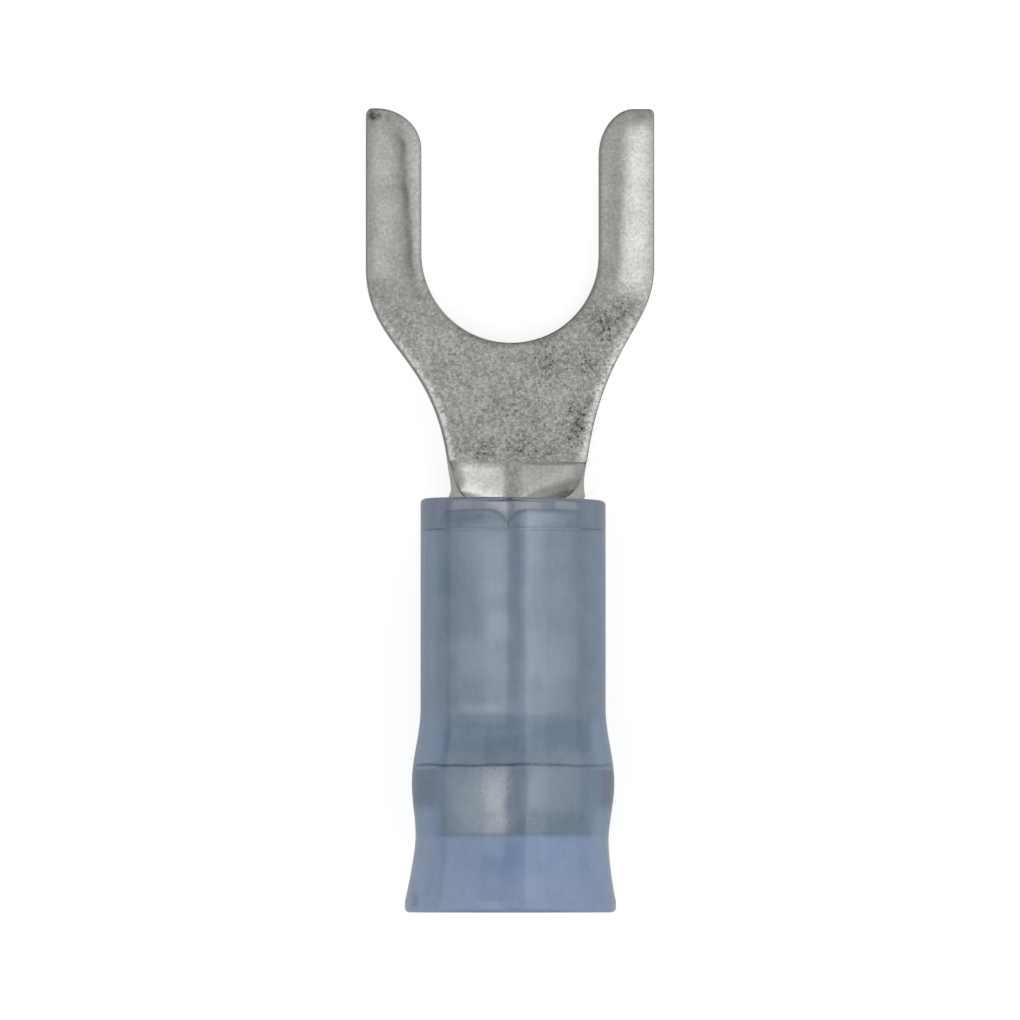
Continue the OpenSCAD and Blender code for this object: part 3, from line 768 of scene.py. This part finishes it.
def matte_tin(name):
    """Electroplated matte tin on copper: a dull grey metal whose fine crystals blur what it mirrors.
    The coining die leaves light and dark flecks and dark pits on the flat, with a few painted glints among
    them.
    Rubbed and oxidised places are darker, painted shade darkens the edges, the crease along the bevel, the
    walls and a few spots, and the sheared sides are dull. The flecks are drawn 0.1 mm across, where the
    tin's own crystals are far too fine to show."""
    material, tree, output = new_material(name)
    place = add(tree, "ShaderNodeTexCoord").outputs["Object"]
    grain, tarnish, sheared, worn_and_shaded = [
        add(tree, "ShaderNodeAttribute", attribute_name=mark).outputs["Fac"]
        for mark in ("die_grain", "tarnish", "sheared", "worn_and_shaded")
    ]
    speckle = add(tree, "ShaderNodeTexNoise", {"Vector": place, "Scale": per_mm(FLECK), "Detail": 3.0,
                                               "Roughness": 0.95}).outputs["Fac"]
    patch = add(tree, "ShaderNodeTexNoise", {"Vector": place, "Scale": per_mm(0.7), "Detail": 2.0,
                                             "Roughness": 0.5}).outputs["Fac"]
    cell = add(tree, "ShaderNodeTexVoronoi", {"Vector": place, "Scale": per_mm(FLECK)})

    # Dark pits in the middle of about a quarter of the cells, deepest where the tin is tarnished
    pit = add(tree, "ShaderNodeMapRange", {"Value": cell.outputs["Distance"], "From Min": 0.55,
                                           "From Max": 0.3})
    some = add(tree, "ShaderNodeMapRange", {"Value": cell.outputs["Color"], "From Min": 0.62,
                                            "From Max": 0.72})
    often = add(tree, "ShaderNodeMath", {0: grain, 1: 0.3, 2: tarnish}, operation="MULTIPLY_ADD")
    pit = add(tree, "ShaderNodeMath", {0: pit.outputs["Result"], 1: some.outputs["Result"]},
              operation="MULTIPLY")
    pit = add(tree, "ShaderNodeMath", {0: pit.outputs["Value"], 1: often.outputs["Value"]},
              operation="MULTIPLY")

    # Light and dark flecks on uneven patches, with painted glints, bright spots of colour, in the middle
    # of one cell in twelve
    centred = add(tree, "ShaderNodeMath", {0: speckle, 1: 0.5}, operation="SUBTRACT")
    depth = add(tree, "ShaderNodeMapRange", {"Value": grain, "To Min": 1.3, "To Max": 4.0})
    level = add(tree, "ShaderNodeMapRange", {"Value": patch, "To Min": 0.2, "To Max": 0.8})
    glint = add(tree, "ShaderNodeMapRange", {"Value": cell.outputs["Distance"], "From Min": 0.42,
                                             "From Max": 0.2})
    few = add(tree, "ShaderNodeMapRange", {"Value": cell.outputs["Color"], "From Min": 0.22,
                                           "From Max": 0.17})
    glint = add(tree, "ShaderNodeMath", {0: glint.outputs["Result"], 1: few.outputs["Result"]},
                operation="MULTIPLY")
    level = add(tree, "ShaderNodeMath", {0: glint.outputs["Value"], 1: grain, 2: level.outputs["Result"]},
                operation="MULTIPLY_ADD")
    fleck = add(tree, "ShaderNodeMath", {0: centred.outputs["Value"], 1: depth.outputs["Result"],
                                         2: level.outputs["Value"]},
                operation="MULTIPLY_ADD", use_clamp=True)
    tin = add(tree, "ShaderNodeMix", {0: fleck.outputs["Value"], 6: colour("a7a5a2"), 7: colour("f2f0eb")},
              data_type="RGBA")

    # Stains and pits over them, then the torn grain of the sheared sides, then what is rubbed and the
    # painted shade
    worn = add(tree, "ShaderNodeMapRange", {"Value": speckle, "From Min": 0.62, "From Max": 0.4,
                                            "To Min": 0.15, "To Max": 1.4})
    stain = add(tree, "ShaderNodeMath", {0: tarnish, 1: worn.outputs["Result"], 2: pit.outputs["Value"]},
                operation="MULTIPLY_ADD", use_clamp=True)
    tint = add(tree, "ShaderNodeMix", {0: stain.outputs["Value"], 6: tin.outputs[2], 7: colour("5c5b59")},
               data_type="RGBA")
    torn = add(tree, "ShaderNodeMix", {0: speckle, 6: colour("b4b0aa"), 7: colour("f4f1ec")},
               data_type="RGBA")
    tint = add(tree, "ShaderNodeMix", {0: sheared, 6: tint.outputs[2], 7: torn.outputs[2]},
               data_type="RGBA")
    # Darker where rubbed, and where shade is painted on the edges, the crease, the walls and a few spots
    tint = add(tree, "ShaderNodeMix", {0: worn_and_shaded, 6: tint.outputs[2], 7: colour("5a5956")},
               data_type="RGBA")

    dull = add(tree, "ShaderNodeMapRange", {"Value": sheared, "To Min": 0.28, "To Max": 0.5})
    bite = add(tree, "ShaderNodeMapRange", {"Value": grain, "To Min": 0.15, "To Max": 1.0})
    bump = add(tree, "ShaderNodeBump", {"Height": speckle, "Distance": 0.0013 * MM,
                                        "Strength": bite.outputs["Result"]})
    wave = add(tree, "ShaderNodeBump", {"Height": patch, "Distance": 0.007 * MM, "Strength": 1.0,
                                        "Normal": bump.outputs["Normal"]})
    metal = add(tree, "ShaderNodeBsdfPrincipled", {
        "Base Color": tint.outputs[2], "Metallic": 1.0, "Roughness": dull.outputs["Result"],
        "Normal": wave.outputs["Normal"],
    })
    tree.links.new(metal.outputs["BSDF"], output.inputs["Surface"])
    return material


def rolled_tin(name):
    """Bright tin on thin rolled brass: smoother than the stamped tongue and a little warm, with the
    small dents and pits that forming the groove and the band leaves."""
    material, tree, output = new_material(name)
    place = add(tree, "ShaderNodeTexCoord").outputs["Object"]
    pit = add(tree, "ShaderNodeTexNoise", {"Vector": place, "Scale": per_mm(0.14), "Detail": 2.0,
                                           "Roughness": 0.6}).outputs["Fac"]
    dent = add(tree, "ShaderNodeTexNoise", {"Vector": place, "Scale": per_mm(1.5), "Detail": 2.0,
                                            "Roughness": 0.5}).outputs["Fac"]
    tarnish = add(tree, "ShaderNodeAttribute", attribute_name="tarnish").outputs["Fac"]
    tin = add(tree, "ShaderNodeMix", {0: dent, 6: colour("c8c4bd"), 7: colour("dad7d1")},
              data_type="RGBA")
    tin = add(tree, "ShaderNodeMix", {0: tarnish, 6: tin.outputs[2], 7: colour("2f3230")},
              data_type="RGBA")
    uneven = add(tree, "ShaderNodeMapRange", {"Value": pit, "From Min": 0.3, "From Max": 0.7,
                                              "To Min": 0.2, "To Max": 0.3})
    small = add(tree, "ShaderNodeBump", {"Height": pit, "Distance": 0.0025 * MM, "Strength": 1.0})
    large = add(tree, "ShaderNodeBump", {"Height": dent, "Distance": 0.1 * MM, "Strength": 1.0,
                                         "Normal": small.outputs["Normal"]})
    metal = add(tree, "ShaderNodeBsdfPrincipled", {
        "Base Color": tin.outputs[2], "Metallic": 1.0, "Roughness": uneven.outputs["Result"],
        "Normal": large.outputs["Normal"],
    })
    tree.links.new(metal.outputs["BSDF"], output.inputs["Surface"])
    return material


def dyed_nylon(name):
    """Moulded nylon 6 dyed blue. Its crystals scatter a milky blue under a glossy skin, and between them
    light still passes and shows the metal inside. The milk is put on the outside alone, with painted light
    in it:
    it is painted greyer over the metal and bluer round the empty mouth for what shows through, with
    painted highlights and shade over the metal, and painted shade where the band presses on the nylon.
    Soft clouds make it uneven, and so do fine streaks along the way the melt flowed. The depth of the
    nylon darkens what shines through."""
    material, tree, output = new_material(name)
    place = add(tree, "ShaderNodeTexCoord").outputs["Object"]
    clearness, mouth, shade_and_wear, light_and_shade, flank = [
        add(tree, "ShaderNodeAttribute", attribute_name=mark).outputs["Fac"]
        for mark in ("clear", "mouth", "shade_and_wear", "light_and_shade", "flank")
    ]
    cloud = add(tree, "ShaderNodeTexNoise", {"Vector": place, "Scale": per_mm(1.3), "Detail": 4.0,
                                             "Roughness": 0.65}).outputs["Fac"]
    skin = add(tree, "ShaderNodeTexNoise", {"Vector": place, "Scale": per_mm(0.5), "Detail": 1.0,
                                            "Roughness": 0.5}).outputs["Fac"]

    # How pale the milk is, from 0 to 1: clouds, streaks five times as long as they are wide, and the
    # painted highlights and shade
    shade = add(tree, "ShaderNodeMapRange", {"Value": cloud, "From Min": 0.3, "From Max": 0.7,
                                             "To Min": 0.22, "To Max": 0.62})
    drawn = add(tree, "ShaderNodeMapping", {"Vector": place, "Scale": (1.0, 0.2, 1.0)})
    streak = add(tree, "ShaderNodeTexNoise", {"Vector": drawn.outputs["Vector"], "Scale": per_mm(0.12),
                                              "Detail": 3.0, "Roughness": 0.8})
    streak = add(tree, "ShaderNodeMapRange", {"Value": streak.outputs["Fac"], "To Min": -0.2,
                                              "To Max": 0.2})
    shade = add(tree, "ShaderNodeMath", {0: shade.outputs["Result"], 1: streak.outputs["Result"]},
                operation="ADD")
    shade = add(tree, "ShaderNodeMath", {0: shade.outputs["Value"], 1: light_and_shade}, operation="ADD",
                use_clamp=True)

    # The milk, painted greyer over the metal and bluer past its sides and round the mouth for what shows
    # through, and painted darker for shade and wear
    grey = add(tree, "ShaderNodeMix", {0: shade.outputs["Value"], 6: colour("6a829b"),
                                       7: colour("9eafc6")}, data_type="RGBA")
    grey = add(tree, "ShaderNodeMix", {0: flank, 6: grey.outputs[2], 7: colour("84a0c2")},
               data_type="RGBA")
    blue = add(tree, "ShaderNodeMix", {0: shade.outputs["Value"], 6: colour("7f98bf"),
                                       7: colour("a9bddb")}, data_type="RGBA")
    milk = add(tree, "ShaderNodeMix", {0: mouth, 6: grey.outputs[2], 7: blue.outputs[2]},
               data_type="RGBA")
    # Darker with the painted shade, and at the worn place
    milk = add(tree, "ShaderNodeMix", {0: shade_and_wear, 6: milk.outputs[2], 7: colour("33375c")},
               data_type="RGBA")

    bump = add(tree, "ShaderNodeBump", {"Height": skin, "Distance": 0.006 * MM, "Strength": 1.0})
    clear = add(tree, "ShaderNodeBsdfPrincipled", {
        "Base Color": colour("f2f5f8"), "Roughness": 0.1, "IOR": 1.53, "Transmission Weight": 1.0,
        "Normal": bump.outputs["Normal"],
    })
    milky = add(tree, "ShaderNodeBsdfPrincipled", {
        "Base Color": milk.outputs[2], "Roughness": 0.1, "IOR": 1.53, "Normal": bump.outputs["Normal"],
    })
    both = add(tree, "ShaderNodeMixShader", {0: clearness, 1: milky.outputs["BSDF"],
                                             2: clear.outputs["BSDF"]})
    depth = add(tree, "ShaderNodeVolumeAbsorption", {"Color": colour("b9cbe0"), "Density": 1 / (2.0 * MM)})
    tree.links.new(both.outputs["Shader"], output.inputs["Surface"])
    tree.links.new(depth.outputs["Volume"], output.inputs["Volume"])
    return material


terminal = make_terminal()
terminal.data.materials.append(matte_tin("matte_tin_plate"))
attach(terminal, "root")
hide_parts("fork_terminal")

sleeve = make_sleeve()
sleeve.data.materials.append(rolled_tin("rolled_tin_plate"))
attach(sleeve, "root")
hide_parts("grip_sleeve")

nylon = make_nylon()
nylon.data.materials.append(dyed_nylon("dyed_nylon"))
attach(nylon, "root")
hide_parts("insulator")


# The bench: a plane on which the part rests on the nylon's front rim and bulge and on one tine's tip

def rest_plane():
    """The plane z = a + b x + c y, in millimetres, that touches the nylon's bulge and front rim from
    below and passes through the right tine's lower corner. A circle of radius r at y touches it where
    the plane's height on the centre line is r times the square root of 1 + b b lower. 50 rounds are far
    more than it takes to settle."""
    corner = np.array([FORK_HALF, TIP_Y - TIP_CORNER_L])
    a = b = c = 0.0
    for _ in range(50):
        tilt = math.sqrt(1 + b * b)
        rim, bulge = AXIS_Z - NYLON_R * tilt, AXIS_Z - BULGE_R * tilt
        c = (rim - bulge) / (NYLON_FRONT - BULGE_Y)
        a = rim - c * NYLON_FRONT
        b = -(a + c * corner[1]) / corner[0]
    return a, b, c


BENCH_HALF = 600.0
floor_a, floor_b, floor_c = rest_plane()
bench_corners = [(x * BENCH_HALF, y * BENCH_HALF) for x, y in ((-1, -1), (1, -1), (1, 1), (-1, 1))]
bench_points = [(x * MM, y * MM, (floor_a + floor_b * x + floor_c * y) * MM) for x, y in bench_corners]
bench_mesh = bpy.data.meshes.new("bench")
bench_mesh.from_pydata(bench_points, [], [(0, 1, 2, 3)])
bench = new_object("bench", bench_mesh)

# White paper under the lamps. Rays from the camera, and those that metal and nylon mirror or pass,
# also see some light of its own, so that it shows white and still holds the part's shadow.
paper, tree, output = new_material("white_paper")
ray = add(tree, "ShaderNodeLightPath")
passed = add(tree, "ShaderNodeMath", {0: ray.outputs["Is Glossy Ray"],
                                      1: ray.outputs["Is Transmission Ray"]}, operation="MAXIMUM")
passed = add(tree, "ShaderNodeMath", {0: passed.outputs["Value"], 1: 0.12}, operation="MULTIPLY")
glow = add(tree, "ShaderNodeMath", {0: ray.outputs["Is Camera Ray"], 1: 0.69, 2: passed.outputs["Value"]},
           operation="MULTIPLY_ADD")
sheet = add(tree, "ShaderNodeBsdfPrincipled", {
    "Base Color": colour("c6c6c6"), "Roughness": 0.9, "Specular IOR Level": 0.0,
    "Emission Color": (1.0, 1.0, 1.0, 1.0), "Emission Strength": glow.outputs["Value"],
})
tree.links.new(sheet.outputs["BSDF"], output.inputs["Surface"])
bench.data.materials.append(paper)


# Camera and lamps, set square to a view that leans a little to the left of the tongue's normal

VIEW_LEAN_X = 0.055
VIEW_LEAN_Y = 0.028
PIXELS = 1020
PX_PER_MM = 35.8
CENTRE = Vector((-0.023, -7.177, SHEET))
VIEW_FROM = 420.0
SENSOR = 36.0

back = Vector((-VIEW_LEAN_X, -VIEW_LEAN_Y, 1)).normalized()
up = (Vector((0, 1, 0)) - Vector((0, 1, 0)).dot(back) * back).normalized()
right = up.cross(back)
turn = Matrix((right, up, back)).transposed()

camera_data = bpy.data.cameras.new("camera")
camera_data.sensor_width = SENSOR
camera_data.lens = SENSOR * VIEW_FROM / (PIXELS / PX_PER_MM)
camera_data.clip_start = 0.01
camera_data.clip_end = 10
camera = new_object("camera", camera_data)
camera.matrix_world = Matrix.Translation((CENTRE + back * VIEW_FROM) * MM) @ turn.to_4x4()
bpy.context.scene.camera = camera


def softbox(name, angles, away, low, high, radiance):
    """A long lamp beside the camera that faces the part from so many millimetres away. It spans two
    angles from the view's axis, in degrees, and reaches from low to high in the view, in millimetres.
    Its power is the radiance times pi times its area."""
    a, b = (math.radians(angle) for angle in angles)
    middle = (a + b) / 2
    data = bpy.data.lights.new(name, "AREA")
    data.shape = "RECTANGLE"
    data.size = 2 * away * math.tan(abs(b - a) / 2) * MM
    data.size_y = (high - low) * MM
    data.energy = radiance * math.pi * data.size * data.size_y
    axis = right * math.sin(middle) + back * math.cos(middle)
    place = CENTRE + axis * away + up * (low + high) / 2
    turned = Matrix((up.cross(axis), up, axis)).transposed()
    new_object(name, data).matrix_world = Matrix.Translation(place * MM) @ turned.to_4x4()


softbox("softbox_right", (16.2, 40), away=500, low=-900, high=1100, radiance=1.05)
softbox("softbox_left", (-7.2, -36), away=500, low=-900, high=130, radiance=0.95)
softbox("edge_light_right", (40, 86), away=520, low=-900, high=1100, radiance=0.6)
softbox("edge_light_left", (-36, -84), away=520, low=-900, high=600, radiance=0.62)

world = bpy.data.worlds.new("studio")
world.use_nodes = True
room = world.node_tree.nodes["Background"].inputs
room["Color"].default_value = colour("ffffff")
room["Strength"].default_value = 0.34
bpy.context.scene.world = world

bpy.context.scene.view_settings.view_transform = "Standard"
